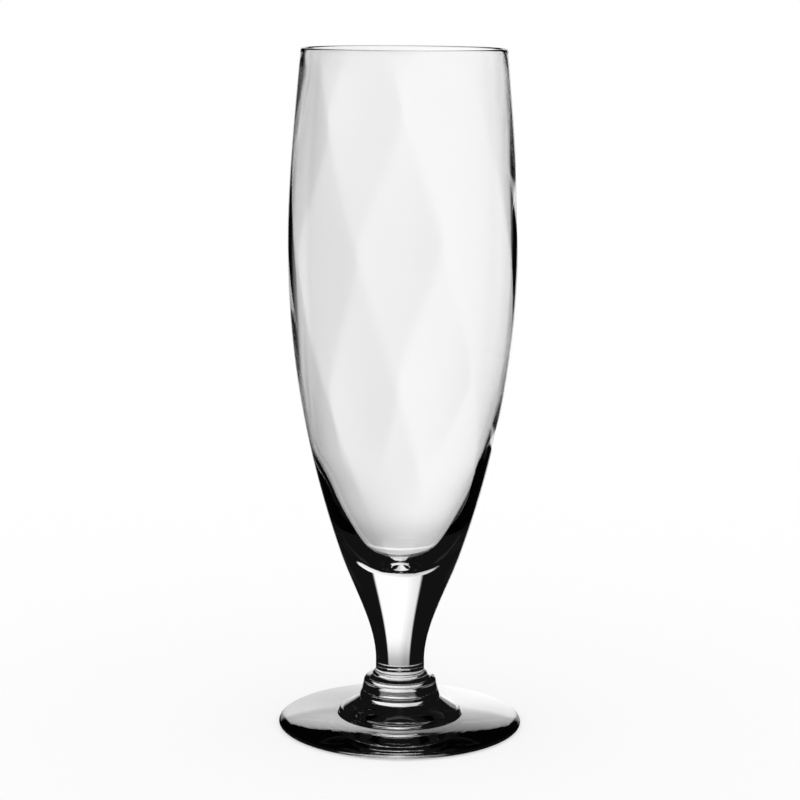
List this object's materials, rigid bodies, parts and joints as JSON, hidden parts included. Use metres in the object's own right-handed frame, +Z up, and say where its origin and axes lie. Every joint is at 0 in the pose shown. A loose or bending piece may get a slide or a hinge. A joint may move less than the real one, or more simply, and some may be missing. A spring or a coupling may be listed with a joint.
{
  "type": "footed beer glass",
  "caption": "Tall clear tulip beer glass with a swirled optic bowl, heavy solid base, short stem, stepped collar and round foot.",
  "frame": {"origin": "on the table, in the middle of the foot's flat standing ring", "axes": "+Z up along the glass's axis; -Y is the side that the picture is taken from; +X is its right"},
  "size_m": [0.0724, 0.0724, 0.2],
  "materials": {
    "bowl_glass": "fire-polished, clear",
    "stem_glass": "fire-polished, clear",
    "collar_glass": "clear, with fine tool rings",
    "foot_glass": "fire-polished, clear"
  },
  "bodies": {
    "root": {"bowl": "bowl_glass", "stem": "stem_glass", "collar": "collar_glass", "foot": "foot_glass"}
  },
  "joints": []
}
